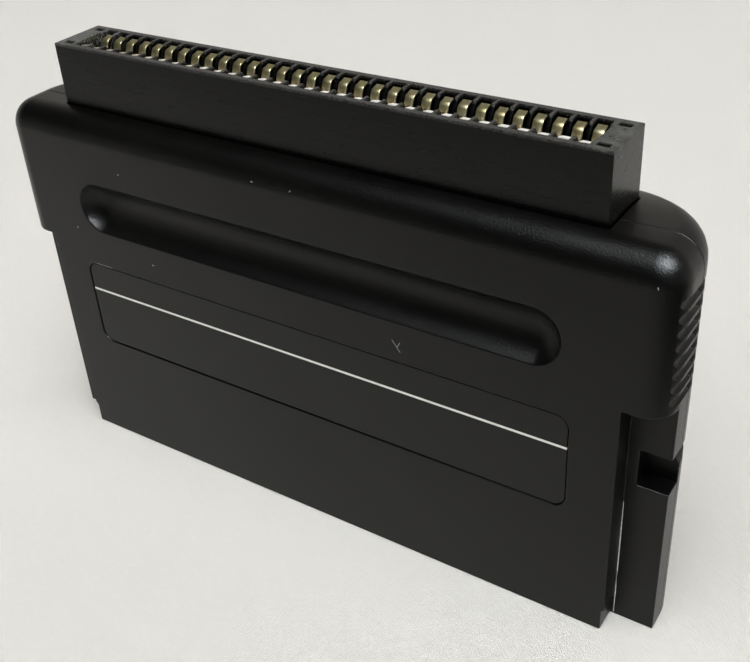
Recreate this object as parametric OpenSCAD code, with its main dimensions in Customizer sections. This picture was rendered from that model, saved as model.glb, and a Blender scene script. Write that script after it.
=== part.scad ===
// Cartridge adapter: a card slot on top, an edge connector in the mouth below and a moulded two-part case.
// X runs along the width, Y from the front face to the back, Z up. The rim of the mouth stands on Z = 0.

/* [Case] */
// Height of the two shells
case_h = 59.4; // [58.6:0.2:64]
// Depth from the front face to the back face
case_d = 17.5; // [17:0.1:19]
// Depth of the front shell, up to the parting line
front_d = 6.9; // [6.2:0.1:7.4]
// Thickness of the outer walls
wall = 2; // [1.6:0.1:2.2]
// Radius of the front edge and of the upper corners
corner_r = 4; // [2.5:0.1:4.5]
// Distance by which each side of the back shell curves in
side_sweep = 16.7; // [12:0.1:20]
// Flat part of the back shell's top, behind the parting line
top_flat = 2.6; // [1:0.1:5]
// Drop of the domed top at the back face
top_drop = 1.6; // [0.8:0.1:2.5]
// Radius of the upper corners at the back face
back_corner_r = 2.2; // [1.5:0.1:3.5]

/* [Lower plate and rails] */
// Width of each rail beside the front plate
rail_w = 5.75; // [5:0.05:8]
// Height of the underside of the shoulders
shoulder_z = 37.9; // [36.5:0.1:39]
// Distance of the rails' front behind the front face
rail_set_back = 3.7; // [3:0.1:4.2]
// Height of the narrow lead-in at the foot of the plate
lead_in_h = 3.4; // [2:0.1:5]
// Distance by which the lead-in is narrower on each side
lead_in_step = 0.4; // [0.2:0.05:0.8]

/* [Lock notch] */
// Height of the notch's lower face
notch_z = 24.3; // [20:0.1:26]
// Height of the notch
notch_h = 5.7; // [4:0.1:6.5]
// Depth of the notch from the side of the rail
notch_w = 4.2; // [3:0.1:4.6]
// Radius of the rounded shelf behind the notch
notch_round = 3; // [2:0.1:3.8]
// Height of the straight step above the rounded shelf
notch_step = 0.8; // [0.4:0.1:1.2]

/* [Finger groove] */
// Distance of the groove's ends from the sides of the plate
groove_side = 8; // [6:0.5:18]
// Height of the groove
groove_h = 8.3; // [6:0.1:9]
// Depth of the groove
groove_depth = 2.5; // [1.5:0.1:2.8]
// Height of the groove's middle
groove_z = 45; // [44:0.1:46]
// Thickness of the wall behind the groove
groove_wall = 1.6; // [1.2:0.1:2]

/* [Label] */
// Distance of the label recess from the sides of the plate
label_side = 6.5; // [3.5:0.1:14]
// Height of the label recess
label_h = 15; // [10:0.1:16]
// Height of the recess's middle
label_z = 27; // [25:0.1:29]
// Depth of the recess
label_depth = 0.4; // [0.3:0.05:0.6]
// Corner radius of the recess
label_r = 2; // [1:0.1:3]
// Thickness of the label
label_t = 0.25; // [0.15:0.05:0.3]
// Gap between the label's edge and the recess
label_gap = 0.15; // [0.05:0.05:0.4]

/* [Grips] */
// Number of grip grooves on each shoulder
grip_count = 8; // [5:1:8]
// Spacing of the grip grooves
grip_pitch = 1.95; // [1.7:0.05:2.1]
// Height of the lowest groove above the shoulder's underside
grip_rise = 1.7; // [1.2:0.1:1.8]
// Radius of a groove
grip_r = 0.65; // [0.4:0.05:0.75]

/* [Card slot] */
// Number of places in each row of contacts
ways = 32; // [20:1:32]
// Spacing of the contacts
pitch = 2.54; // [2.5:0.01:2.54]
// Length of the insulator beyond the outer contacts' places on each side
housing_end = 3.06; // [2.9:0.01:3.8]
// Depth of the insulator
housing_d = 8.95; // [8.6:0.05:9.4]
// Height of the insulator
housing_h = 15; // [14:0.1:16]
// Depth of the spare pockets at the insulator's ends
spare_len = 7.5; // [4:0.1:9]
// Height by which the insulator stands out of the case
housing_proud = 9.3; // [8:0.1:10]
// Thickness of the outer walls of the insulator
rim = 0.95; // [0.8:0.05:1.1]
// Thickness of the webs between the pockets
web = 0.5; // [0.4:0.05:0.7]
// Width of the slot for the card
slot_gap = 1.9; // [1.8:0.05:2.2]
// Depth of the slot for the card
slot_depth = 9; // [8:0.1:9.5]
// Depth of the lead-in along the slot
slot_lead = 2.2; // [1:0.1:2.4]
// Half width of the lead-in at the top
slot_flare = 2.2; // [1.6:0.1:2.4]
// Thickness of the insulator's floor
base_t = 2.3; // [1.8:0.1:3]
// Gap between the insulator and the case
housing_gap = 0.15; // [0.1:0.05:0.3]
// Thickness of the shelf that carries the insulator
shelf_t = 1.5; // [1.2:0.1:2]
// Gap between the shelf and the contacts
shelf_gap = 0.3; // [0.2:0.05:0.5]

/* [Contacts] */
// Thickness of the spring strip
spring_t = 0.25; // [0.2:0.05:0.3]
// Width of the strip at the contact point
spring_w = 1.3; // [1:0.05:1.4]
// Width of the strip at its root
root_w = 1.7; // [1.4:0.05:1.75]
// Width of the narrow neck below the contact point
neck_w = 1; // [0.8:0.05:1.2]
// Width of the strip at its tip
tip_w = 1.05; // [0.8:0.05:1.2]
// Width of the tail
tail_w = 0.8; // [0.6:0.05:1]
// Half of the gap between two opposite contact points
nose_y = 0.6; // [0.5:0.05:0.75]
// Distance of the root from the middle of the slot
root_y = 3; // [2.8:0.05:3.1]
// Distance of the tip from the middle of the slot
tip_y = 2.7; // [2.4:0.05:3]
// Distance of the tip below the top of the insulator
tip_drop = 0.35; // [0.2:0.05:0.8]
// Distance of the contact point below the tip
nose_drop = 2.9; // [2.6:0.1:3.4]
// Length of the tail along the board
tail_len = 5; // [3:0.1:6]
// Height over which the tail bends in towards the board
tail_jog = 1.6; // [1.2:0.1:2]
// Height of the straight root above the insulator's floor
root_rise = 1; // [0.6:0.1:1.4]
// Gap between the root and its slit
root_gap = 0.1; // [0.05:0.05:0.15]
// Height over which the strip narrows above its root
root_taper = 2.5; // [1.5:0.1:4]
// Height by which the spring bows up from a straight line
spring_bow = 0.8; // [0.4:0.1:1]
// Half of the height of the rounded contact point
nose_half = 0.6; // [0.4:0.05:0.8]
// Distance by which the contact point is rounded
nose_round = 0.1; // [0.05:0.05:0.2]

/* [Circuit board] */
// Thickness of the board
board_t = 1.6; // [1.5:0.1:1.8]
// Gap between the board and the side walls of the mouth
board_side = 1.5; // [1:0.1:2.5]
// Width of the edge connector beyond the outer contacts' places on each side
tongue_end = 1.61; // [1:0.01:2.5]
// Height of the board's lower edge above the rim of the mouth
board_z = 2.5; // [1:0.1:4]
// Bevel of the board's lower edge
board_bevel = 0.5; // [0.2:0.05:0.6]
// Gap between the board and the insulator
board_gap = 0.3; // [0.2:0.05:0.6]
// Width of an edge finger
finger_w = 1.6; // [1:0.05:1.9]
// Height of an edge finger
finger_h = 9; // [7:0.1:9.5]
// Thickness of the plating
finger_t = 0.06; // [0.05:0.01:0.1]

/* [Mouth] */
// Distance of the mouth's side walls beyond the outer contacts' places
mouth_end = 5.86; // [5.5:0.01:6.5]
// Height of the mouth
mouth_h = 12.5; // [12.2:0.1:14]
// Thickness of the guide ribs above the mouth
guide_t = 1.5; // [1:0.1:2]
// Gap between the guide ribs and the board
guide_gap = 0.25; // [0.15:0.05:0.4]

/* [Screws and bosses] */
// Distance of the screws from the side walls of the mouth
screw_side = 12.5; // [10.5:0.5:21]
// Height of the screws
screw_z = 32; // [28:0.5:33]
// Diameter of the screw shank
screw_d = 2.4; // [2:0.1:2.6]
// Diameter of the screw head
screw_head_d = 5; // [4.4:0.1:5.4]
// Height of the screw head
screw_head_h = 1.9; // [1.5:0.1:2.2]
// Length of the shank
screw_len = 7; // [6:0.1:7.4]
// Width across the hexagon recess in the head
screw_key = 2.2; // [1.6:0.1:2.6]
// Depth of the hexagon recess
screw_key_h = 1.2; // [0.8:0.1:1.4]
// Gap round the screw head
head_gap = 0.2; // [0.1:0.05:0.4]
// Gap round the screw shank
screw_gap = 0.1; // [0.05:0.05:0.2]
// Diameter of the collars that hold the board
collar_d = 9.6; // [9:0.1:11]
// Diameter of the spigot through the board
spigot_d = 6.4; // [5.6:0.1:7]
// Gap round the spigot
spigot_gap = 0.3; // [0.2:0.05:0.5]

/* [Hidden] */
$fn = 48;
eps = 0.01;
over = 1;

slot_len = ways * pitch;
mouth_w = slot_len + 2 * mouth_end;
plate_w = mouth_w + 2 * wall;
case_w = plate_w + 2 * rail_w;
y_front = -case_d / 2;
y_back = case_d / 2;
y_part = y_front + front_d;
back_d = case_d - front_d;
in_front = y_front + wall;
in_back = y_back - wall;

housing_w = slot_len + 2 * housing_end;
housing_top = case_h + housing_proud;
housing_z = housing_top - housing_h;
row_len = (ways - 1) * pitch;
pocket_w = pitch - web;
pocket_out = housing_d / 2 - rim;
slot_floor = housing_top - slot_depth;
spare_w = housing_end - rim - web;

board_w = mouth_w - 2 * board_side;
tongue_w = slot_len + 2 * tongue_end;
board_y = board_t / 2;
board_top = housing_z - board_gap;
tail_y = board_y + spring_t / 2;
head_y = board_y + wall;
screw_span = mouth_w - 2 * screw_side;
label_w = plate_w - 2 * label_side;
groove_len = plate_w - 2 * groove_side;
tip_z = housing_top - tip_drop;
nose_z = tip_z - nose_drop;
beam_z = housing_z + base_t + root_rise;
neck_z = nose_z - nose_half - nose_round;
shelf_y = root_y + spring_t / 2 + shelf_gap;

back_slices = 12;
corner_steps = 7;

function pair_name(i) = str("contact_pair_", i < 10 ? "0" : "", i);
function place_x(i) = (i - 1) * pitch - row_len / 2;

// Length lost by an ellipse of the given reach at the fraction k of its depth
function sweep(reach, k) = reach * (1 - sqrt(max(0, 1 - k * k)));

// Half width, height and corner radius of the back shell at the fraction k of its depth
function back_half_w(k, inset) = case_w / 2 - inset - sweep(side_sweep, k);
function back_h(y, inset) =
  case_h - inset - sweep(top_drop, max(0, (y - y_part - top_flat) / (back_d - inset - top_flat)));
function back_r(k, inset) = max(0.6, corner_r - inset + (back_corner_r - corner_r) * k);

// Outline of one section of the back shell, from the left foot over the top to the right foot
function section(w, h, r, foot, y) = concat(
  [[-w, y, foot]],
  [for (i = [0 : corner_steps]) let (a = 90 * i / corner_steps) [-w + r - r * cos(a), y, h - r + r * sin(a)]],
  [for (i = [0 : corner_steps]) let (a = 90 * i / corner_steps) [w - r + r * sin(a), y, h - r + r * cos(a)]],
  [[w, y, foot]]
);

// Offset of a bend of a strip, on the side given by the sign of half
function normal(a, b) = let (d = (b - a) / norm(b - a)) [-d[1], d[0]];
function bend(path, i, half) =
  let (
    n1 = normal(path[max(i - 1, 0)], path[max(i, 1)]),
    n2 = normal(path[min(i, len(path) - 2)], path[min(i + 1, len(path) - 1)]),
    m = n1 + n2
  ) path[i] + m * (2 * half / (m * m));
function strip(path, t) = concat(
  [for (i = [0 : len(path) - 1]) bend(path, i, t / 2)],
  [for (i = [len(path) - 1 : -1 : 0]) bend(path, i, -t / 2)]
);

// Box between two corners
module block(low, high) {
  translate(low) cube(high - low);
}

// Both halves of a shape that is drawn on the right
module both_sides() {
  children();
  mirror([1, 0, 0]) children();
}

// Cylinder along Y between two depths
module bar_y(x, z, d, y0, y1, sides = 48) {
  translate([x, y0, z]) rotate([-90, 0, 0]) cylinder(h = y1 - y0, d = d, $fn = sides);
}

// Section of a wall whose front corner is rounded, with X outwards and Y back
module rounded_edge(r, d) {
  translate([0, r]) square([r, d - r]);
  intersection() {
    square(r);
    translate([0, r]) circle(r, $fn = 64);
  }
}

// Slab standing on Z = 0 with its front face at Y = 0, its front edge and upper corners rounded
module rounded_slab(w, h, d, r) {
  block([-w / 2 + r, 0, 0], [w / 2 - r, d, h - r]);
  translate([-w / 2 + r, 0, h - r]) rotate([90, 0, 90]) linear_extrude(w - 2 * r)
    mirror([1, 0]) rotate(90) rounded_edge(r, d);
  both_sides() {
    translate([w / 2 - r, 0, 0]) linear_extrude(h - r) rounded_edge(r, d);
    translate([w / 2 - r, 0, h - r]) rotate([-90, -90, 0]) rotate_extrude(angle = 90) rounded_edge(r, d);
  }
}

// Solid form of the back shell, drawn in by an inset, from a foot height upwards
module back_form(inset, foot) {
  slices = [for (i = [0 : back_slices])
    let (k = sin(90 * i / back_slices), y = y_part + k * (back_d - inset))
    section(back_half_w(k, inset), back_h(y, inset), back_r(k, inset), foot, y)];
  n = len(slices[0]);
  last = n * back_slices;
  polyhedron(
    points = [for (s = slices) each s],
    faces = concat(
      [[for (j = [0 : n - 1]) j]],
      [for (i = [0 : back_slices - 1], j = [0 : n - 1])
        let (a = i * n + j, b = i * n + (j + 1) % n) [a, a + n, b + n, b]],
      [[for (j = [n - 1 : -1 : 0]) last + j]]
    )
  );
}

// Grooves along Y across both sides of the shoulders
module grips() {
  for (i = [0 : grip_count - 1], s = [-1, 1])
    bar_y(s * case_w / 2, shoulder_z + grip_rise + i * grip_pitch, 2 * grip_r, y_front - over, y_back + over, 24);
}

// Opening for the insulator in the top of the case
module housing_opening() {
  block(
    [-housing_w / 2 - housing_gap, -housing_d / 2 - housing_gap, housing_z],
    [housing_w / 2 + housing_gap, housing_d / 2 + housing_gap, housing_top]
  );
}

module front_shell() {
  color([0.17, 0.17, 0.165]) {
    difference() {
      union() {
        difference() {
          front_outside();
          front_cavity();
        }
        intersection() {
          front_outside();
          finger_groove(groove_wall);
        }
      }
      finger_groove(0);
      label_recess(label_w, label_h, label_r, y_front - over, y_front + label_depth);
      grips();
      block([case_w / 2 - notch_w, y_front, notch_z], [case_w / 2 + over, y_part + over, notch_z + notch_h]);
      housing_opening();
    }
    front_inside();
  }
}

// Outside of the front half, with the shoulders, the plate and the rails
module front_outside() {
  translate([0, y_front, shoulder_z]) rounded_slab(case_w, case_h - shoulder_z, front_d, corner_r);
  translate([0, y_part, 0]) rotate([90, 0, 0]) linear_extrude(front_d) polygon([
    [-plate_w / 2 + lead_in_step, 0], [plate_w / 2 - lead_in_step, 0],
    [plate_w / 2 - lead_in_step, lead_in_h], [plate_w / 2, lead_in_h + lead_in_step],
    [plate_w / 2, shoulder_z + eps], [-plate_w / 2, shoulder_z + eps],
    [-plate_w / 2, lead_in_h + lead_in_step], [-plate_w / 2 + lead_in_step, lead_in_h]
  ]);
  both_sides() block([plate_w / 2 - over, y_front + rail_set_back, 0], [case_w / 2, y_part, shoulder_z + eps]);
}

module front_cavity() {
  block([-mouth_w / 2, in_front, -over], [mouth_w / 2, y_part + over, shoulder_z + over]);
  block([-case_w / 2 + corner_r, in_front, shoulder_z + wall], [case_w / 2 - corner_r, y_part + over, case_h - wall]);
}

// Concave groove for the fingers, thickened by a skin
module finger_groove(skin) {
  r = (pow(groove_h / 2, 2) + pow(groove_depth, 2)) / (2 * groove_depth);
  x = (groove_len - groove_h) / 2;
  translate([0, y_front + groove_depth - r, groove_z]) {
    rotate([0, 90, 0]) cylinder(h = 2 * x, r = r + skin, center = true, $fn = 96);
    for (s = [-1, 1]) translate([s * x, 0, 0]) sphere(r = r + skin, $fn = 96);
  }
}

// Rounded plate in the plane of the front face
module label_recess(w, h, r, y0, y1) {
  translate([0, y1, label_z]) rotate([90, 0, 0]) linear_extrude(y1 - y0) {
    square([w - 2 * r, h], center = true);
    square([w, h - 2 * r], center = true);
    for (sx = [-1, 1], sz = [-1, 1]) translate([sx * (w / 2 - r), sz * (h / 2 - r)]) circle(r);
  }
}

// Guide rib, shelf and bosses inside the front half
module front_inside() {
  block([-mouth_w / 2, in_front - eps, mouth_h], [mouth_w / 2, -board_y - guide_gap, mouth_h + guide_t]);
  block([-housing_w / 2, in_front - eps, housing_z - shelf_t], [housing_w / 2, -shelf_y, housing_z]);
  for (s = [-1, 1]) difference() {
    union() {
      bar_y(s * screw_span / 2, screw_z, collar_d, in_front - eps, -board_y);
      bar_y(s * screw_span / 2, screw_z, spigot_d, in_front - eps, board_y - guide_gap);
    }
    bar_y(s * screw_span / 2, screw_z, screw_d + 2 * screw_gap, in_front + wall / 2, board_y + over);
  }
}

module back_shell() {
  color([0.17, 0.17, 0.165]) difference() {
    union() {
      difference() {
        back_form(0, 0);
        intersection() {
          back_form(wall, -over);
          union() {
            block([-mouth_w / 2, y_part - over, -2 * over], [mouth_w / 2, y_back, shoulder_z + wall + over]);
            block([-case_w / 2, y_part - over, shoulder_z + wall], [case_w / 2, y_back, case_h]);
          }
        }
      }
      intersection() {
        back_form(wall / 2, 0);
        back_inside();
      }
    }
    grips();
    back_notch();
    housing_opening();
    for (s = [-1, 1]) {
      bar_y(s * screw_span / 2, screw_z, screw_head_d + 2 * head_gap, head_y, y_back + over);
      bar_y(s * screw_span / 2, screw_z, screw_d + 2 * head_gap, 0, y_back);
    }
  }
}

// Relief behind the lock notch, leaving a rounded shelf
module back_notch() {
  x = case_w / 2 - notch_round;
  z = notch_z + notch_h - notch_round - notch_step;
  difference() {
    block([x, y_part - over, z], [case_w / 2 + over, y_back, notch_z + notch_h]);
    bar_y(x, z, 2 * notch_round, y_part - 2 * over, y_back + over);
  }
}

// Guide rib, shelf and screw tubes inside the back half
module back_inside() {
  block([-mouth_w / 2, board_y + guide_gap, mouth_h], [mouth_w / 2, y_back, mouth_h + guide_t]);
  block([-housing_w / 2, shelf_y, housing_z - shelf_t], [housing_w / 2, y_back, housing_z]);
  for (s = [-1, 1]) bar_y(s * screw_span / 2, screw_z, collar_d, board_y, y_back);
}

module slot_housing() {
  color([0.12, 0.12, 0.12]) difference() {
    block([-housing_w / 2, -housing_d / 2, housing_z], [housing_w / 2, housing_d / 2, housing_top]);
    block([-slot_len / 2, -slot_gap / 2, slot_floor], [slot_len / 2, slot_gap / 2, housing_top + over]);
    translate([-slot_len / 2, 0, housing_top]) rotate([90, 0, 90]) linear_extrude(slot_len) polygon([
      [-slot_flare, over], [-slot_flare, 0], [-slot_gap / 2, -slot_lead], [slot_gap / 2, -slot_lead],
      [slot_flare, 0], [slot_flare, over]
    ]);
    for (i = [1 : ways], s = [-1, 1]) pocket(place_x(i), s);
    both_sides() for (s = [-1, 1]) mirrored(s) block(
      [slot_len / 2 + web, pocket_out - rim, housing_top - spare_len],
      [slot_len / 2 + web + spare_w, pocket_out, housing_top + over]
    );
  }
}

// Front or rear copy of a shape that is drawn behind the middle plane
module mirrored(s) {
  scale_y = s < 0 ? 1 : 0;
  mirror([0, scale_y, 0]) children();
}

// Pocket for one contact and the slit under its root
module pocket(x, s) {
  mirrored(s) {
    block([x - pocket_w / 2, slot_gap / 2 - eps, housing_z + base_t], [x + pocket_w / 2, pocket_out, housing_top + over]);
    block(
      [x - root_w / 2 - root_gap, root_y - spring_t / 2 - root_gap, housing_z - over],
      [x + root_w / 2 + root_gap, root_y + spring_t / 2 + root_gap, housing_z + base_t + over]
    );
  }
}

// Strip of one rear contact, from the tail on the board to the tip
function contact_path() = [
  [tail_y, housing_z - tail_jog - tail_len],
  [tail_y, housing_z - tail_jog],
  [root_y, board_top],
  [root_y, beam_z],
  [(root_y + nose_y) / 2, (beam_z + nose_z) / 2 + spring_bow],
  [nose_y + spring_t / 2 + nose_round, nose_z - nose_half],
  [nose_y + spring_t / 2, nose_z],
  [nose_y + spring_t / 2 + nose_round, nose_z + nose_half],
  [(nose_y + tip_y) / 2 - nose_round, tip_z - 2 * spring_t],
  [tip_y, tip_z - spring_t / 2]
];

// Outline of the strip seen from the front
module contact_outline() {
  foot = housing_z - tail_jog - tail_len - over;
  half = [
    [tail_w / 2, foot], [tail_w / 2, housing_z - tail_jog / 2], [root_w / 2, housing_z],
    [root_w / 2, beam_z], [spring_w / 2, beam_z + root_taper], [neck_w / 2, neck_z],
    [spring_w / 2, nose_z + nose_half], [spring_w / 2, tip_z - 2 * spring_t], [tip_w / 2, tip_z + over]
  ];
  n = len(half);
  polygon(concat(half, [for (i = [n - 1 : -1 : 0]) [-half[i][0], half[i][1]]]));
}

module contact() {
  intersection() {
    translate([-root_w, 0, 0]) rotate([90, 0, 90]) linear_extrude(2 * root_w) polygon(strip(contact_path(), spring_t));
    rotate([90, 0, 0]) translate([0, 0, -housing_d]) linear_extrude(2 * housing_d) contact_outline();
  }
}

module contact_pair(i) {
  color([0.83, 0.68, 0.32]) for (s = [-1, 1]) translate([place_x(i), 0, 0]) mirrored(s) contact();
}

module circuit_board() {
  color([0.10, 0.32, 0.16]) difference() {
    intersection() {
      translate([0, board_y, 0]) rotate([90, 0, 0]) linear_extrude(board_t) polygon([
        [-tongue_w / 2, board_z], [tongue_w / 2, board_z],
        [tongue_w / 2, mouth_h], [board_w / 2, mouth_h],
        [board_w / 2, board_top], [-board_w / 2, board_top],
        [-board_w / 2, mouth_h], [-tongue_w / 2, mouth_h]
      ]);
      translate([-board_w / 2 - over, 0, 0]) rotate([90, 0, 90]) linear_extrude(board_w + 2 * over) polygon([
        [-board_y + board_bevel, board_z], [board_y - board_bevel, board_z],
        [board_y, board_z + 2 * board_bevel], [board_y, board_top],
        [-board_y, board_top], [-board_y, board_z + 2 * board_bevel]
      ]);
    }
    for (s = [-1, 1])
      bar_y(s * screw_span / 2, screw_z, spigot_d + 2 * spigot_gap, -board_t, board_t);
  }
}

// One row of edge fingers on the rear face of the board
module finger_row() {
  color([0.85, 0.70, 0.30]) for (i = [1 : ways]) block(
    [place_x(i) - finger_w / 2, board_y, board_z + 2 * board_bevel],
    [place_x(i) + finger_w / 2, board_y + finger_t, board_z + 2 * board_bevel + finger_h]
  );
}

module front_edge_fingers() {
  mirror([0, 1, 0]) finger_row();
}

module rear_edge_fingers() {
  finger_row();
}

module label() {
  color([0.16, 0.16, 0.14]) label_recess(
    label_w - 2 * label_gap, label_h - 2 * label_gap, label_r - label_gap,
    y_front + label_depth - label_t, y_front + label_depth
  );
}

module case_screws() {
  color([0.62, 0.62, 0.60]) for (s = [-1, 1]) difference() {
    union() {
      bar_y(s * screw_span / 2, screw_z, screw_head_d, head_y, head_y + screw_head_h);
      bar_y(s * screw_span / 2, screw_z, screw_d, head_y - screw_len, head_y + eps);
    }
    bar_y(s * screw_span / 2, screw_z, screw_key / cos(30), head_y + screw_head_h - screw_key_h, y_back, 6);
  }
}

front_shell();
back_shell();
slot_housing();
circuit_board();
front_edge_fingers();
rear_edge_fingers();
label();
case_screws();
for (i = [1 : ways]) contact_pair(i);
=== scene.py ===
import math

import bmesh
import bpy
import numpy as np
from mathutils import Matrix, Vector


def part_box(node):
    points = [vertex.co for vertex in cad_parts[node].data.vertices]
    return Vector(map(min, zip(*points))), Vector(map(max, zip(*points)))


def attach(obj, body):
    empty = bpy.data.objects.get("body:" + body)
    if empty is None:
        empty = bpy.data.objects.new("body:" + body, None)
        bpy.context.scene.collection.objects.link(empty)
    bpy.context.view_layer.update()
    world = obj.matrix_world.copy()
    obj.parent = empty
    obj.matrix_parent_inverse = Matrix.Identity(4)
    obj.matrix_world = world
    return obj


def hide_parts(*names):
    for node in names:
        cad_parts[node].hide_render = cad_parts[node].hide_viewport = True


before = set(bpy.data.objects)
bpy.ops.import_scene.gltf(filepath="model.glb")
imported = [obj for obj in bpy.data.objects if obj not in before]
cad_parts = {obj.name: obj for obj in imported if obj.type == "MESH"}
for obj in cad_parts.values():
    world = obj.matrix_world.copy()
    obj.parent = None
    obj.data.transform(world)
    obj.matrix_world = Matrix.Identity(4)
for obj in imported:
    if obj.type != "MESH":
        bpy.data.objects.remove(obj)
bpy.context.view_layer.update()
mm = 0.001


# A value socket of a node tree. Arithmetic on it adds Math nodes to that tree.
class Value:
    def __init__(self, nodes, socket):
        self.nodes = nodes
        self.socket = socket

    def math(self, operation, first, second=0.0):
        return self.nodes.value("ShaderNodeMath", {"operation": operation}, {0: first, 1: second})

    def __add__(self, other):
        return self.math("ADD", self, other)

    def __radd__(self, other):
        return self.math("ADD", other, self)

    def __sub__(self, other):
        return self.math("SUBTRACT", self, other)

    def __rsub__(self, other):
        return self.math("SUBTRACT", other, self)

    def __mul__(self, other):
        return self.math("MULTIPLY", self, other)

    def __rmul__(self, other):
        return self.math("MULTIPLY", other, self)

    def __pow__(self, other):
        return self.math("POWER", self, other)

    def __abs__(self):
        return self.math("ABSOLUTE", self)

    def atLeast(self, other):
        return self.math("MAXIMUM", self, other)

    # From low at start to high at end, smooth between and level outside; start may be above end
    def rise(self, start, end, low=0.0, high=1.0):
        settings = {"interpolation_type": "SMOOTHSTEP", "clamp": True}
        if start > end:
            start, end, low, high = end, start, high, low
        feeds = {0: self, 1: start, 2: end, 3: low, 4: high}
        return self.nodes.value("ShaderNodeMapRange", settings, feeds)


class Nodes:
    def __init__(self, tree):
        self.tree = tree
        tree.nodes.clear()

    # Adds a node, then its settings, then the values or links of its inputs
    def node(self, kind, settings=None, feeds=None):
        made = self.tree.nodes.new(kind)
        for key, setting in (settings or {}).items():
            setattr(made, key, setting)
        for key, feed in (feeds or {}).items():
            if isinstance(feed, Value):
                self.tree.links.new(feed.socket, made.inputs[key])
            else:
                made.inputs[key].default_value = feed
        return made

    def value(self, kind, settings=None, feeds=None, output=0):
        return Value(self, self.node(kind, settings, feeds).outputs[output])

    def mixed(self, share, low, high):
        settings = {"data_type": "RGBA", "clamp_factor": True}
        return self.value("ShaderNodeMix", settings, {0: share, 6: low, 7: high}, 2)

    def parts(self, vector):
        split = self.node("ShaderNodeSeparateXYZ", None, {0: vector})
        return [Value(self, split.outputs[i]) for i in range(3)]


# A material whose patterns are laid out in millimetres of Object coordinates
class Finish(Nodes):
    def __init__(self, name, **fixed):
        self.material = bpy.data.materials.new(name)
        self.material.use_nodes = True
        super().__init__(self.material.node_tree)
        metres = self.value("ShaderNodeTexCoord", None, None, "Object")
        toMillimetres = {"Vector": metres, "Scale": (1 / mm, 1 / mm, 1 / mm)}
        self.place = self.value("ShaderNodeMapping", None, toMillimetres)
        self.x, self.y, self.z = self.parts(self.place)
        self.shader = self.node("ShaderNodeBsdfPrincipled", None, fixed)
        shaded = Value(self, self.shader.outputs[0])
        self.out = self.node("ShaderNodeOutputMaterial", None, {"Surface": shaded})
        self.normal = None

    # Cloudy pattern from 0 to 1; scale is in features per millimetre
    def noise(self, scale, detail, roughness, place=None):
        feeds = {
            "Vector": place or self.place, "Scale": scale, "Detail": detail,
            "Roughness": roughness}
        return self.value("ShaderNodeTexNoise", None, feeds, "Fac")

    def stretched(self, x, y, z):
        return self.value("ShaderNodeMapping", None, {"Vector": self.place, "Scale": (x, y, z)})

    # Height in millimetres, added over the bumps before it
    def bump(self, height):
        feeds = {"Height": height, "Distance": mm, "Strength": 1.0}
        if self.normal:
            feeds["Normal"] = self.normal
        self.normal = self.value("ShaderNodeBump", None, feeds)

    # Mask of a straight stroke on a face that looks forwards: 1 where the distance
    # to the middle line is small against the width, so the ends are round
    def stroke(self, x, z, length, width, degrees):
        turn = math.radians(degrees)
        along = (self.x - x) * math.cos(turn) + (self.z - z) * math.sin(turn)
        across = (self.z - z) * math.cos(turn) - (self.x - x) * math.sin(turn)
        beyond = (abs(along) - length / 2).atLeast(0)
        return ((beyond * beyond + across * across) ** 0.5).rise(width * 0.7, width * 0.3)

    def surface(self, colour, roughness, **others):
        feeds = {"Base Color": colour, "Roughness": roughness, "Normal": self.normal, **others}
        for key, feed in feeds.items():
            if isinstance(feed, Value):
                self.tree.links.new(feed.socket, self.shader.inputs[key])
            elif feed is not None:
                self.shader.inputs[key].default_value = feed
        return self.material


def grey(level, warm=0.0):
    return (level * (1 + warm), level, level * (1 - warm), 1)


# Gives a piece its finish and its body, and hides the nodes that it stands for
def dress(piece, finish, slot, *nodes):
    piece.data.materials.clear()
    piece.data.materials.append(finish)
    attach(piece, "root")
    if nodes:
        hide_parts(*nodes)


def addPiece(name, mesh):
    piece = bpy.data.objects.new(name, mesh)
    bpy.context.scene.collection.objects.link(piece)
    return piece


def applyModifiers(piece):
    evaluated = piece.evaluated_get(bpy.context.evaluated_depsgraph_get())
    mesh = bpy.data.meshes.new_from_object(evaluated)
    piece.modifiers.clear()
    old = piece.data
    piece.data = mesh
    bpy.data.meshes.remove(old)


def shadeSmooth(piece, angle):
    piece.data.shade_smooth()
    piece.data.set_sharp_from_angle(angle=math.radians(angle))


# Draws the points that a bevel pushed out back to the box of the node
def keepInside(piece, node):
    low, high = (np.array(corner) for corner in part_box(node))
    points = np.empty(len(piece.data.vertices) * 3)
    piece.data.vertices.foreach_get("co", points)
    piece.data.vertices.foreach_set("co", np.clip(points.reshape(-1, 3), low, high).ravel())
    piece.data.update()


# How every moulded copy is cleaned and shaded: a length in millimetres, angles in degrees
copyRule = {"merge": 0.0005, "flat": 0.4, "sharp": 28, "smooth": 40, "faceWeight": 50}


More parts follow.
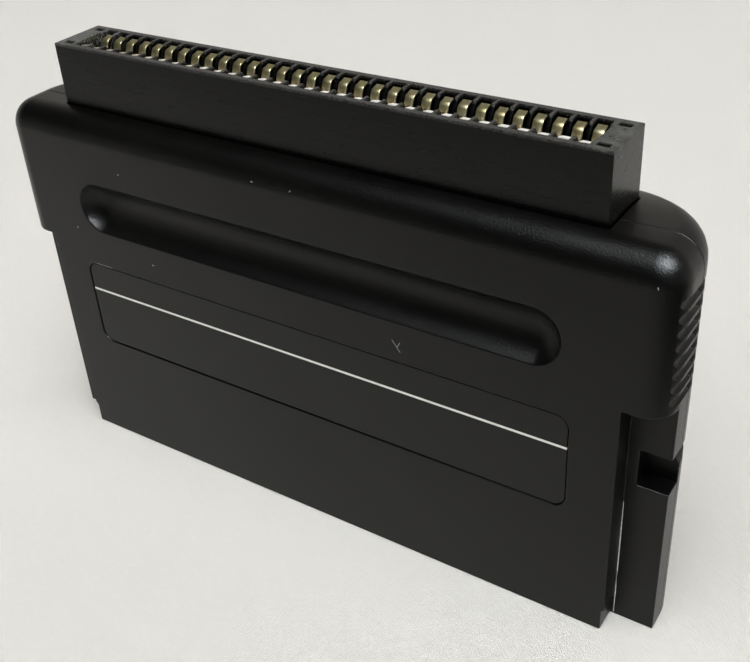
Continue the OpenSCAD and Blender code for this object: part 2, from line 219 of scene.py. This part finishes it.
# Copy of a moulded node with its loose triangles joined and its sharp edges broken
# to rounds of a width in millimetres and a number of steps
def mouldedCopy(node, name, width, steps):
    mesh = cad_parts[node].data.copy()
    mesh.materials.clear()
    work = bmesh.new()
    work.from_mesh(mesh)
    bmesh.ops.remove_doubles(work, verts=work.verts, dist=copyRule["merge"] * mm)
    bmesh.ops.dissolve_limit(
        work, angle_limit=math.radians(copyRule["flat"]), use_dissolve_boundaries=False,
        verts=work.verts, edges=work.edges, delimit=set())
    work.to_mesh(mesh)
    work.free()
    if mesh.has_custom_normals:
        bpy.context.view_layer.update()
    piece = addPiece(name, mesh)
    with bpy.context.temp_override(object=piece, active_object=piece, selected_objects=[piece]):
        bpy.ops.mesh.customdata_custom_splitnormals_clear()
    bevel = piece.modifiers.new("brokenEdges", "BEVEL")
    bevel.limit_method = "ANGLE"
    bevel.angle_limit = math.radians(copyRule["sharp"])
    bevel.width = width * mm
    bevel.segments = steps
    bevel.use_clamp_overlap = False
    bevel.miter_outer = "MITER_ARC"
    applyModifiers(piece)
    keepInside(piece, node)
    shadeSmooth(piece, copyRule["smooth"])
    weighted = piece.modifiers.new("evenShading", "WEIGHTED_NORMAL")
    weighted.keep_sharp = True
    weighted.weight = copyRule["faceWeight"]
    applyModifiers(piece)
    return piece


# Closed bodies in one mesh. Each strip is a grid of n rings by m points, in millimetres:
# every ring is joined to the next by m quads, and the first and last ring are capped flat.
def sweptMesh(name, strips):
    points, faces, base = [], [], 0
    for strip in strips:
        n, m = strip.shape[:2]
        i, j = np.meshgrid(np.arange(n - 1), np.arange(m), indexing="ij")
        here, there = j, (j + 1) % m
        quads = np.stack(
            [i * m + here, i * m + there, (i + 1) * m + there, (i + 1) * m + here], axis=-1)
        points.append(strip.reshape(-1, 3) * mm)
        faces += (quads.reshape(-1, 4) + base).tolist()
        first = np.arange(m) + base
        faces += [first[::-1].tolist(), (first + (n - 1) * m).tolist()]
        base += n * m
    mesh = bpy.data.meshes.new(name)
    mesh.from_pydata(np.vstack(points).tolist(), [], faces)
    work = bmesh.new()
    work.from_mesh(mesh)
    bmesh.ops.recalc_face_normals(work, faces=work.faces)
    work.to_mesh(mesh)
    work.free()
    return mesh


# Camera at the photograph's viewing angle, for a picture 750 wide and 662 high
viewpoint = {
    "place": (0.08395, -0.10825, 0.11849),
    "right": (0.83529692, 0.54707658, -0.0546468),
    "down": (0.26286653, -0.484687, -0.83425398),
    "forward": (-0.48288741, 0.68248496, -0.54866568),
    "focalPixels": 1087.6,
    "pictureWidth": 750,
    "sensor": 36.0,
    "near": 0.01,
    "far": 20,
}


def placeCamera():
    lens = bpy.data.cameras.new("viewfinder")
    camera = bpy.data.objects.new("viewfinder", lens)
    bpy.context.scene.collection.objects.link(camera)
    up, back = -Vector(viewpoint["down"]), -Vector(viewpoint["forward"])
    turn = Matrix((viewpoint["right"], up, back)).transposed()
    camera.matrix_world = Matrix.Translation(viewpoint["place"]) @ turn.to_4x4()
    lens.sensor_width = viewpoint["sensor"]
    lens.lens = viewpoint["focalPixels"] * viewpoint["sensor"] / viewpoint["pictureWidth"]
    lens.clip_start = viewpoint["near"]
    lens.clip_end = viewpoint["far"]
    bpy.context.scene.camera = camera


placeCamera()
print("camera placed")


# Lengths in metres, but for the floor's drop, which is in millimetres
room = {
    "floorDrop": 0.05,
    "flatRadius": 1.3,
    "curveRadius": 0.28,
    "curveShare": 0.9,
    "rings": 60,
    "ringCrowding": 1.5,
    "spokes": 96,
    "openingLevel": 0.025,
    "wallColour": (0.56, 0.52, 0.47, 1),
    "wallSide": (0.05, 0.50),
    "wallHeight": (0.80, 0.52),
    "horizonSide": (-0.1, 0.2),
    "horizonHeight": (0.22, 0.12),
    "backgroundColour": (0.80, 0.79, 0.76, 1),
    "cardLevel": 0.004,
}
cloth = {
    "colour": (0.80, 0.79, 0.765, 1),
    "darkShare": 0.93,
    "threadsPerMm": 1.6,
    "threadWander": 1.2,
    "threadHeight": 0.06,
    "slubNoise": (0.9, 3, 0.6),
    "slubHeight": 0.05,
    "shadeRange": (0.1, 0.9),
    "specular": 0.2,
    "roughness": 0.9,
}
lamps = {
    "overhead": {
        "place": (0.45, -0.75, 2.2), "size": 2.4, "power": 80, "colour": (1, 0.995, 0.97),
        "lights": True},
    "window": {
        "place": (-2.3, -1.4, 1.4), "size": 1.8, "power": 9, "colour": (0.94, 0.975, 1),
        "lights": True},
    "glint": {
        "place": (0.75, -0.45, 1.41), "size": 0.34, "power": 60, "colour": (0.88, 0.96, 1),
        "lights": False},
    "glintTail": {
        "place": (0.25, -0.5, 1.41), "size": 0.6, "power": 23, "colour": (0.95, 0.98, 1),
        "lights": False},
}
# Dark cards round the pale cloth that only reflections see, painted shade in what the surfaces
# mirror; each drawn by its corners in metres
darkCards = {
    "cardRight": [
        (0.095, -0.16, 0.0006), (0.60, -0.16, 0.0006),
        (0.60, 0.062, 0.0006), (0.095, 0.062, 0.0006)],
    "cardFront": [
        (-1.25, -1.2, 0.0006), (1.25, -1.2, 0.0006),
        (1.25, -0.16, 0.0006), (-1.25, -0.16, 0.0006)],
    "cardWall": [
        (-1.25, -1.2, 0.0), (-1.25, -1.2, 0.4),
        (1.25, -1.2, 0.4), (1.25, -1.2, 0.0)],
}


# Rings round the Z axis, closer together near the middle. Out to flatRadius the height is
# level, and from there it follows most of a quarter circle of curveRadius.
def makeFloor():
    turn = math.pi / 2 * room["curveShare"]
    length = room["flatRadius"] + room["curveRadius"] * turn
    along = np.linspace(0, 1, room["rings"]) ** room["ringCrowding"] * length
    bend = np.clip((along - room["flatRadius"]) / room["curveRadius"], 0, turn)
    radius = np.minimum(along, room["flatRadius"]) + room["curveRadius"] * np.sin(bend)
    height = room["curveRadius"] * (1 - np.cos(bend)) - room["floorDrop"] * mm
    n = room["spokes"]
    spoke = np.arange(n) / n * 2 * np.pi
    grid = np.stack([
        radius[1:, None] * np.cos(spoke), radius[1:, None] * np.sin(spoke),
        np.broadcast_to(height[1:, None], (len(radius) - 1, n))], axis=-1)
    points = np.vstack([grid.reshape(-1, 3), [[0, 0, height[0]]]])
    i, j = np.meshgrid(np.arange(len(radius) - 2), np.arange(n), indexing="ij")
    here, there = j, (j + 1) % n
    quads = np.stack(
        [i * n + here, (i + 1) * n + here, (i + 1) * n + there, i * n + there], axis=-1)
    hub = np.stack([np.full(n, len(points) - 1), np.arange(n), (np.arange(n) + 1) % n], axis=-1)
    mesh = bpy.data.meshes.new("floor")
    mesh.from_pydata(points.tolist(), [], quads.reshape(-1, 4).tolist() + hub.tolist())
    mesh.shade_smooth()
    floor = addPiece("floor", mesh)
    floor.data.materials.append(makeCloth())


# Pale cloth, woven plain; seen from below it lets the camera through
def makeCloth():
    pale = Finish("paleCloth", **{"Specular IOR Level": cloth["specular"]})
    threads = {
        "Vector": pale.place, "Scale": cloth["threadsPerMm"],
        "Distortion": cloth["threadWander"], "Detail": 1.0}
    warp = pale.value("ShaderNodeTexWave", {"bands_direction": "X"}, threads)
    weft = pale.value("ShaderNodeTexWave", {"bands_direction": "Y"}, threads)
    slub = pale.noise(*cloth["slubNoise"])
    pale.bump(warp * weft * cloth["threadHeight"] + slub * cloth["slubHeight"])
    shade = (warp * weft * 0.5 + slub * 0.5).rise(*cloth["shadeRange"])
    dark = tuple(cloth["darkShare"] * c for c in cloth["colour"][:3]) + (1,)
    material = pale.surface(pale.mixed(shade, dark, cloth["colour"]), cloth["roughness"])
    rays = pale.node("ShaderNodeLightPath")
    facing = pale.value("ShaderNodeNewGeometry", None, None, "Backfacing")
    hidden = facing * Value(pale, rays.outputs["Is Camera Ray"])
    clear = pale.value("ShaderNodeBsdfTransparent")
    shaded = Value(pale, pale.shader.outputs[0])
    seen = pale.value("ShaderNodeMixShader", None, {0: hidden, 1: shaded, 2: clear})
    pale.tree.links.new(seen.socket, pale.out.inputs["Surface"])
    return material


# Dim in front, a warm wall behind; the camera sees the pale background everywhere,
# and reflections see it low behind the object
def lightRoom():
    world = bpy.data.worlds.new("room")
    bpy.context.scene.world = world
    world.use_nodes = True
    sky = Nodes(world.node_tree)
    direction = sky.value("ShaderNodeTexCoord", None, None, "Generated")
    y, z = sky.parts(direction)[1:]
    wall = y.rise(*room["wallSide"]) * z.rise(*room["wallHeight"])
    colour = sky.mixed(wall, grey(room["openingLevel"]), room["wallColour"])
    lit = sky.value("ShaderNodeBackground", None, {"Color": colour})
    pale = sky.value("ShaderNodeBackground", None, {"Color": room["backgroundColour"]})
    rays = sky.node("ShaderNodeLightPath")
    cameraRay, mirrorRay, glassRay = (
        Value(sky, rays.outputs[f"Is {kind} Ray"]) for kind in ("Camera", "Glossy", "Transmission"))
    horizon = z.rise(*room["horizonHeight"]) * y.rise(*room["horizonSide"]) * mirrorRay
    share = cameraRay.atLeast(glassRay).atLeast(horizon)
    both = sky.value("ShaderNodeMixShader", None, {0: share, 1: lit, 2: pale})
    sky.node("ShaderNodeOutputWorld", None, {"Surface": both})


# Square lamps that look at the origin. Those with lights on light the surfaces and aren't
# mirrored in them, the others are only seen mirrored.
def hangLamps():
    for name, lamp in lamps.items():
        light = bpy.data.lights.new(name, "AREA")
        light.shape = "SQUARE"
        light.size = lamp["size"]
        light.energy = lamp["power"]
        light.color = lamp["colour"]
        holder = bpy.data.objects.new(name, light)
        bpy.context.scene.collection.objects.link(holder)
        holder.location = lamp["place"]
        holder.rotation_euler = (-Vector(lamp["place"])).to_track_quat("-Z", "Y").to_euler()
        holder.visible_diffuse = lamp["lights"]
        holder.visible_glossy = not lamp["lights"]


# Black sheets seen only in reflections, painting shade into them
def makeDarkCards():
    black = Finish("cardBlack").surface(grey(room["cardLevel"]), 1.0)
    for name, corners in darkCards.items():
        mesh = bpy.data.meshes.new(name)
        mesh.from_pydata(corners, [], [(0, 1, 2, 3)])
        card = addPiece(name, mesh)
        card.data.materials.append(black)
        for kind in ("camera", "diffuse", "transmission", "volume_scatter", "shadow"):
            setattr(card, f"visible_{kind}", False)


makeFloor()
makeDarkCards()
lightRoom()
hangLamps()
bpy.context.scene.view_settings.view_transform = "Standard"
print("floor, lamps and background made")


# A noise is its scale, detail and roughness. A mark is its x, z, length, width and angle.
case = {
    "colour": (0.0008, 0.0008, 0.0007, 1),
    "dullColour": (0.0020, 0.0018, 0.0015, 1),
    "ior": 1.5,
    "specular": 0.225,
    "roughness": 0.29,
    "smudge": 0.06,
    "smudgeNoise": (0.06, 3, 0.6),
    "smudgeRange": (0.35, 0.7),
    "grain": 0.05,
    "grainNoise": (4.8, 3, 0.7),
    "markColour": (0.30, 0.30, 0.29, 1),
    "markDepth": (-8.0, -8.4),
    "marks": [
        (-27.0, 37.7, 0.30, 0.16, 0), (-30.8, 52.0, 0.25, 0.14, 20),
        (-42.5, 40.5, 0.30, 0.14, 60), (-5.1, 56.4, 0.25, 0.13, 0),
        (1.3, 56.4, 0.20, 0.12, 40), (-20.7, 42.7, 0.15, 0.15, 0),
        (51.4, 55.8, 0.25, 0.11, -70), (16.8, 37.1, 2.0, 0.10, -54),
        # The last mark, along the top edge of the label's recess at its left end, is a painted
        # highlight
        (17.2, 37.4, 0.9, 0.10, 62), (-38.2, 34.62, 3.4, 0.12, 0)],
    "edge": {"width": 0.14, "steps": 3},
}


# Near black with dull smudges, a fine moulded grain, a few pale specks and scratches, and a painted
# highlight line along the top edge of the label's recess
def makeCasePlastic():
    fixed = {"IOR": case["ior"], "Specular IOR Level": case["specular"]}
    plastic = Finish("blackCasePlastic", **fixed)
    smudge = plastic.noise(*case["smudgeNoise"])
    plastic.bump(plastic.noise(*case["grainNoise"]) * case["grain"])
    dull = smudge.rise(*case["smudgeRange"])
    colour = plastic.mixed(dull, case["colour"], case["dullColour"])
    marked = 0.0
    for mark in case["marks"]:
        marked = plastic.stroke(*mark).atLeast(marked)
    marked = marked * plastic.y.rise(*case["markDepth"])
    colour = plastic.mixed(marked, colour, case["markColour"])
    roughness = smudge * case["smudge"] + (case["roughness"] - case["smudge"] / 2)
    return plastic.surface(colour, roughness)


casePlastic = makeCasePlastic()
frontCase = mouldedCopy("front_shell", "frontCase", **case["edge"])
dress(frontCase, casePlastic, "case_plastic", "front_shell")
backCase = mouldedCopy("back_shell", "backCase", **case["edge"])
dress(backCase, casePlastic, "case_plastic", "back_shell")

# Pale bead in the corner beside the right rail, a painted highlight line; thin gives its share of
# the radius by height
highlightBead = {
    "x": 48.60,
    "y": -5.07,
    "bottom": 0.4,
    "top": 20.9,
    "stations": 90,
    "sides": 8,
    "radius": 0.10,
    "thin": [
        (0.4, 0.7), (4.5, 1.0), (5.8, 0.9), (6.6, 0.25),
        (7.8, 0.3), (8.6, 1.0), (14, 1.1), (20.9, 0.5)],
    "waver": (0.65, 1.0),
    "seed": 4,
    "colour": (0.78, 0.78, 0.76, 1),
    "dimColour": grey(0.35),
    "patchNoise": (3, 2, 0.6),
    "patchHeight": 0.02,
    "ior": 1.5,
    "roughness": 0.5,
}


# Round bead along the corner, with a radius that wavers from station to station
def makeHighlightBead():
    z = np.linspace(highlightBead["bottom"], highlightBead["top"], highlightBead["stations"])
    waver = np.random.default_rng(highlightBead["seed"]).uniform(*highlightBead["waver"], len(z))
    radius = highlightBead["radius"] * np.interp(z, *np.array(highlightBead["thin"]).T) * waver
    turn = np.arange(highlightBead["sides"]) / highlightBead["sides"] * 2 * np.pi
    ring = np.stack([
        highlightBead["x"] + radius[:, None] * np.cos(turn), highlightBead["y"] + radius[:, None] * np.sin(turn),
        np.broadcast_to(z[:, None], (len(z), len(turn)))], axis=-1)
    return sweptMesh("paintedHighlightBead", [ring])


# Painted highlight for the corner bead: pale, dimmer in patches
def makeHighlightBeadPaint():
    pale = Finish("highlightBeadPaint", **{"IOR": highlightBead["ior"]})
    patchy = pale.noise(*highlightBead["patchNoise"])
    pale.bump(patchy * highlightBead["patchHeight"])
    return pale.surface(pale.mixed(patchy, highlightBead["dimColour"], highlightBead["colour"]), highlightBead["roughness"])


highlightBeadPiece = addPiece("paintedHighlightBead", makeHighlightBead())
shadeSmooth(highlightBeadPiece, 60)
dress(highlightBeadPiece, makeHighlightBeadPaint(), "case_plastic")
print("case halves dressed")


slotBody = {
    "colour": (0.0010, 0.0010, 0.0009, 1),
    "ior": 1.5,
    "specular": 0.225,
    "roughness": 0.26,
    "streak": 0.14,
    "streakNoise": (0.5, 3, 0.6),
    "streakStretch": (0.35, 1, 3),
    "grain": 0.012,
    "grainNoise": (6, 2, 0.6),
    "rimColour": (0.060, 0.060, 0.057, 1),
    "rimHeight": (68.2, 68.62),
    "rimFuzz": 0.05,
    "rimRoughness": 0.25,
    "fuzzNoise": (5, 3, 0.7),
    "fuzzRange": (0.35, 0.65),
    "dustColour": (0.22, 0.23, 0.215, 1),
    "dustRoughness": 0.2,
    "hazeShare": 0.45,
    "hazeHeight": (68.35, 68.6),
    "hazeEnds": (39.5, 42.5),
    "hazeNoise": (0.7, 4, 0.7),
    "hazeRange": (0.35, 0.75),
    "insideShare": 0.8,
    "insideDepth": (3.6, 3.3),
    "insideHeight": (64.0, 67.5),
    "insideEnd": (-35.0, -39.0),
    "insideNoise": (2.6, 4, 0.8),
    "insideRange": (0.45, 0.65),
    "edge": {"width": 0.10, "steps": 2},
}


# Black with fine streaks, a rubbed rim, a haze on both top ends and dust inside the left end
def makeSlotPlastic():
    fixed = {"IOR": slotBody["ior"], "Specular IOR Level": slotBody["specular"]}
    plastic = Finish("slotPlastic", **fixed)
    x, y, z = plastic.x, plastic.y, plastic.z
    streak = plastic.noise(*slotBody["streakNoise"], plastic.stretched(*slotBody["streakStretch"]))
    fuzz = plastic.noise(*slotBody["fuzzNoise"])
    rim = z.rise(*slotBody["rimHeight"]) * fuzz.rise(*slotBody["fuzzRange"])
    grain = plastic.noise(*slotBody["grainNoise"]) * slotBody["grain"]
    plastic.bump(grain + fuzz * rim * slotBody["rimFuzz"])
    colour = plastic.mixed(rim, slotBody["colour"], slotBody["rimColour"])
    haze = z.rise(*slotBody["hazeHeight"]) * abs(x).rise(*slotBody["hazeEnds"])
    haze = haze * plastic.noise(*slotBody["hazeNoise"]).rise(*slotBody["hazeRange"])
    inside = abs(y).rise(*slotBody["insideDepth"]) * z.rise(*slotBody["insideHeight"])
    inside = inside * x.rise(*slotBody["insideEnd"])
    inside = inside * plastic.noise(*slotBody["insideNoise"]).rise(*slotBody["insideRange"])
    dust = (haze * slotBody["hazeShare"]).atLeast(inside * slotBody["insideShare"])
    colour = plastic.mixed(dust, colour, slotBody["dustColour"])
    roughness = streak * slotBody["streak"] + (slotBody["roughness"] - slotBody["streak"] / 2)
    roughness = roughness + rim * slotBody["rimRoughness"] + dust * slotBody["dustRoughness"]
    return plastic.surface(colour, roughness)


slotPlastic = makeSlotPlastic()
housing = mouldedCopy("slot_housing", "slotBody", **slotBody["edge"])
dress(housing, slotPlastic, "insulator_plastic", "slot_housing")
print("card slot dressed")


# The line is the front spring's middle as distance from the middle plane and height, and
# the widths go by height. Both are in millimetres.
contact = {
    "ways": 32,
    "pitch": 2.54,
    "line": [
        (0.925, 47.1), (0.925, 52.1), (3.0, 53.4), (3.0, 57.0), (1.8, 62.025),
        (0.825, 64.85), (0.725, 65.45), (0.825, 66.05), (1.5, 67.9), (2.7, 68.225)],
    "widths": [
        (47.1, 0.8), (52.6, 0.8), (53.7, 1.7), (57.0, 1.7), (59.5, 1.3),
        (64.65, 1.0), (65.85, 1.3), (67.85, 1.3), (68.4, 1.2)],
    "thickness": 0.25,
    "corner": 0.05,
    "samples": 600,
    "stations": 64,
    "soften": 0.30,
    "spread": 0.05,
    "springFoot": 57,
    "springLength": 11,
    "seed": 12,
    "colour": (0.86, 0.70, 0.38, 1),
    "paleColour": (0.80, 0.76, 0.62, 1),
    "roughness": 0.22,
    "tarnish": 0.16,
    "tarnishNoise": (0.8, 3, 0.6),
    "tarnishRange": (0.3, 0.75),
    "rubNoise": (3, 2, 0.6),
    "rubStretch": (1, 1, 0.25),
    "rubHeight": 0.006,
    "rearTipColour": (0.30, 0.27, 0.13, 1),
    "rearTipHeight": (66.4, 67.6),
    "rearTipSide": (-0.5, 0.5),
    "rearTipShare": 0.8,
    "rearTipRoughness": 0.15,
    "highlightColour": (0.90, 0.88, 0.84, 1),
    "highlightHeight": (66.9, 67.3),
    "highlightSide": (-1.0, -1.4),
    "highlightAlong": (-45, -8, 0.25, 1),
    "highlightRoughness": 0.25,
    "highlightMetallic": 0.15,
}


# Points at even steps along a bent line, softened by a moving average about soften long
def contactLine():
    bends = np.array(contact["line"])
    samples = contact["samples"]
    run = np.concatenate([[0], np.cumsum(np.linalg.norm(np.diff(bends, axis=0), axis=1))])
    even = np.linspace(0, run[-1], samples)
    raw = np.stack([np.interp(even, run, bends[:, k]) for k in range(2)], axis=1)
    reach = int(contact["soften"] / even[1]) // 2
    kernel = np.hanning(2 * reach + 3)[1:-1]
    padded = np.vstack([
        2 * raw[0] - raw[reach:0:-1], raw, 2 * raw[-1] - raw[-2:-reach - 2:-1]])
    soft = [np.convolve(padded[:, k], kernel / kernel.sum(), "valid") for k in range(2)]
    keep = np.linspace(0, samples - 1, contact["stations"]).round().astype(int)
    return np.stack(soft, axis=1)[keep]


# Rounded rectangle, wide along X and thick along the line's normal, carried along the line.
# Above the spring's foot the line leans and lifts in proportion to its height.
def contactStrip(side, x, lean, lift):
    line = contactLine()
    share = np.clip((line[:, 1] - contact["springFoot"]) / contact["springLength"], 0, 1)
    line = line + np.stack([lean * share, lift * share], axis=1)
    tangent = np.gradient(line, axis=0)
    tangent /= np.linalg.norm(tangent, axis=1, keepdims=True)
    normal = np.stack([tangent[:, 1], -tangent[:, 0]], axis=1)
    half = np.interp(line[:, 1], *np.array(contact["widths"]).T) / 2
    r, t = contact["corner"], contact["thickness"] / 2
    turn = np.radians([0, 45, 90])
    cornerX = np.concatenate([np.cos(turn), -np.sin(turn), -np.cos(turn), np.sin(turn)])
    cornerN = np.concatenate([np.sin(turn), np.cos(turn), -np.sin(turn), -np.cos(turn)])
    signX = np.repeat([1, -1, -1, 1], len(turn))
    signN = np.repeat([1, 1, -1, -1], len(turn))
    across = signX * (half[:, None] - r) + r * cornerX
    out = signN * (t - r) + r * cornerN
    y = line[:, :1] + normal[:, :1] * out
    z = line[:, 1:] + normal[:, 1:] * out
    return np.stack([x + across, side * y, z], axis=-1)


# Gold with a pale tarnish, darker on the rear springs' tips, and with a painted highlight on the
# front ones' tips: whitish, rougher and hardly metallic
def makeContactGold():
    gold = Finish("contactGold", **{"Metallic": 1.0})
    tarnish = gold.noise(*contact["tarnishNoise"])
    rub = gold.noise(*contact["rubNoise"], gold.stretched(*contact["rubStretch"]))
    gold.bump(rub * contact["rubHeight"])
    pale = tarnish.rise(*contact["tarnishRange"])
    colour = gold.mixed(pale, contact["colour"], contact["paleColour"])
    # Darker and rougher towards the rear springs' tips
    rearTipDark = gold.z.rise(*contact["rearTipHeight"]) * gold.y.rise(*contact["rearTipSide"])
    colour = gold.mixed(rearTipDark * contact["rearTipShare"], colour, contact["rearTipColour"])
    # Painted highlight on the front springs' tips, standing in for their glints
    tipHighlight = gold.z.rise(*contact["highlightHeight"]) * gold.y.rise(*contact["highlightSide"])
    tipHighlight = tipHighlight * gold.x.rise(*contact["highlightAlong"])
    colour = gold.mixed(tipHighlight, colour, contact["highlightColour"])
    roughness = tarnish * contact["tarnish"] + (contact["roughness"] - contact["tarnish"] / 2)
    roughness = roughness + rearTipDark * contact["rearTipRoughness"] + tipHighlight * contact["highlightRoughness"]
    return gold.surface(colour, roughness, Metallic=tipHighlight.rise(0, 1, 1, contact["highlightMetallic"]))


def makeContacts():
    contactGold = makeContactGold()
    chance = np.random.default_rng(contact["seed"])
    for way in range(contact["ways"]):
        x = (way - (contact["ways"] - 1) / 2) * contact["pitch"]
        shifts = chance.uniform(-contact["spread"], contact["spread"], (2, 2))
        strips = [contactStrip(side, x, *shift) for side, shift in zip((-1, 1), shifts)]
        name = f"contactPair{way + 1:02d}"
        piece = addPiece(name, sweptMesh(name, strips))
        shadeSmooth(piece, 50)
        dress(piece, contactGold, "contact_gold", f"contact_pair_{way + 1:02d}")


makeContacts()
print("contacts made")


labelFilm = {
    "width": 83.7,
    "height": 14.7,
    "radius": 1.85,
    "middle": 27.0,
    "face": -8.60,
    "thickness": 0.25,
    "edge": 0.06,
    "edgeLevels": 5,
    "faceInset": 0.4,
    "cornerSteps": 10,
    "colour": (0.0038, 0.0038, 0.0030, 1),
    "ior": 1.5,
    "specular": 0.24,
    "roughness": 0.30,
    "wave": 0.02,
    "waveNoise": (0.25, 2, 0.5),
    "waveRoughness": 0.1,
    "peel": 0.003,
    "peelNoise": (2.2, 2, 0.5),
    "ruleHeight": 29.5,
    "ruleThickness": 0.37,
    "ruleColour": (0.70, 0.70, 0.67, 1),
    "ruleRoughness": 0.15,
    "ragged": 0.06,
    "raggedNoise": (6, 2, 0.6),
}


# Rounded rectangle drawn in by an inset: straight sides and four quarter circles
def roundedOutline(width, height, radius, inset, steps):
    r = max(radius - inset, 0.05)
    turn = np.linspace(0, np.pi / 2, steps)
    angle = np.concatenate([turn + k * np.pi / 2 for k in range(4)])
    centreX = np.repeat([1, -1, -1, 1], steps) * (width / 2 - inset - r)
    centreZ = np.repeat([1, 1, -1, -1], steps) * (height / 2 - inset - r)
    return centreX + r * np.cos(angle), centreZ + r * np.sin(angle)


# Levels of the outline from the back, over a rounded front edge, to the flat face
def makeLabel():
    film = labelFilm
    turn = np.linspace(0, np.pi / 2, film["edgeLevels"])
    insets = np.concatenate([[0], film["edge"] * (1 - np.cos(turn)), [film["faceInset"]]])
    back = film["face"] + film["thickness"]
    depths = np.concatenate([
        [back], film["face"] + film["edge"] * (1 - np.sin(turn)), [film["face"]]])
    rings = []
    for inset, depth in zip(insets, depths):
        x, z = roundedOutline(
            film["width"], film["height"], film["radius"], inset, film["cornerSteps"])
        rings.append(np.stack([x, np.full_like(x, depth), z + film["middle"]], axis=-1))
    return sweptMesh("labelPlate", [np.array(rings)])


# Dark film that lies a little uneven, with one pale rule along it
def makeLabelFilm():
    fixed = {"IOR": labelFilm["ior"], "Specular IOR Level": labelFilm["specular"]}
    film = Finish("labelFilm", **fixed)
    wave = film.noise(*labelFilm["waveNoise"])
    peel = film.noise(*labelFilm["peelNoise"])
    film.bump(wave * labelFilm["wave"] + peel * labelFilm["peel"])
    ragged = film.noise(*labelFilm["raggedNoise"]) * labelFilm["ragged"]
    half = labelFilm["ruleThickness"] / 2
    away = abs(film.z - labelFilm["ruleHeight"]) + ragged
    rule = away.rise(half + labelFilm["ragged"], half)
    colour = film.mixed(rule, labelFilm["colour"], labelFilm["ruleColour"])
    roughness = wave * labelFilm["waveRoughness"]
    roughness = roughness + (labelFilm["roughness"] - labelFilm["waveRoughness"] / 2)
    return film.surface(colour, roughness + rule * labelFilm["ruleRoughness"])


label = addPiece("labelPlate", makeLabel())
shadeSmooth(label, 50)
dress(label, makeLabelFilm(), "label_film", "label")
print("label made")


board = {
    "colour": (0.020, 0.085, 0.035, 1),
    "edgeColour": (0.30, 0.26, 0.14, 1),
    "cutHeight": (2.9, 2.6),
    "weaveScale": 0.6,
    "weaveWander": 0.5,
    "weaveHeight": 0.01,
    "blotchNoise": (0.3, 3, 0.6),
    "blotchHeight": 0.01,
    "blotchRoughness": 0.15,
    "ior": 1.5,
    "roughness": 0.3,
    "edge": {"width": 0.06, "steps": 2},
}


# Green mask over a woven core that shows at the cut edge
def makeBoardMask():
    mask = Finish("boardMask", **{"IOR": board["ior"]})
    bands = {
        "Vector": mask.place, "Scale": board["weaveScale"], "Distortion": board["weaveWander"]}
    weave = mask.value("ShaderNodeTexWave", {"bands_direction": "X"}, bands)
    blotch = mask.noise(*board["blotchNoise"])
    mask.bump(weave * board["weaveHeight"] + blotch * board["blotchHeight"])
    cut = mask.z.rise(*board["cutHeight"])
    colour = mask.mixed(cut, board["colour"], board["edgeColour"])
    return mask.surface(colour, blotch * board["blotchRoughness"] + board["roughness"])


fingers = {
    "colour": (0.83, 0.62, 0.27, 1),
    "rubColour": grey(0.6, 0.15),
    "rubNoise": (3, 3, 0.6),
    "rubStretch": (2.5, 1, 0.2),
    "rubHeight": 0.004,
    "rubRoughness": 0.2,
    "roughness": 0.2,
}


# Gold, rubbed pale along the way the pads slide
def makeFingerGold():
    gold = Finish("fingerGold", **{"Metallic": 1.0})
    rub = gold.noise(*fingers["rubNoise"], gold.stretched(*fingers["rubStretch"]))
    gold.bump(rub * fingers["rubHeight"])
    colour = gold.mixed(rub, fingers["colour"], fingers["rubColour"])
    return gold.surface(colour, rub * fingers["rubRoughness"] + fingers["roughness"])


circuitBoard = mouldedCopy("circuit_board", "circuitBoard", **board["edge"])
dress(circuitBoard, makeBoardMask(), "board", "circuit_board")
fingerGold = makeFingerGold()
for node in ("front_edge_fingers", "rear_edge_fingers"):
    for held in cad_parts[node].material_slots:
        held.material = fingerGold
print("board dressed")


screw = {
    "colour": (0.55, 0.54, 0.52, 1),
    "darkColour": grey(0.35, 0.04),
    "turnedNoise": (2.5, 3, 0.6),
    "turnedRange": (0.3, 0.7),
    "turnedHeight": 0.01,
    "turnedRoughness": 0.2,
    "roughness": 0.22,
    "edge": {"width": 0.12, "steps": 3},
}


def makeScrewSteel():
    steel = Finish("screwSteel", **{"Metallic": 1.0})
    turned = steel.noise(*screw["turnedNoise"])
    steel.bump(turned * screw["turnedHeight"])
    colour = steel.mixed(turned.rise(*screw["turnedRange"]), screw["colour"], screw["darkColour"])
    return steel.surface(colour, turned * screw["turnedRoughness"] + screw["roughness"])


caseScrews = mouldedCopy("case_screws", "caseScrews", **screw["edge"])
dress(caseScrews, makeScrewSteel(), "screw_steel", "case_screws")
print("screws dressed")
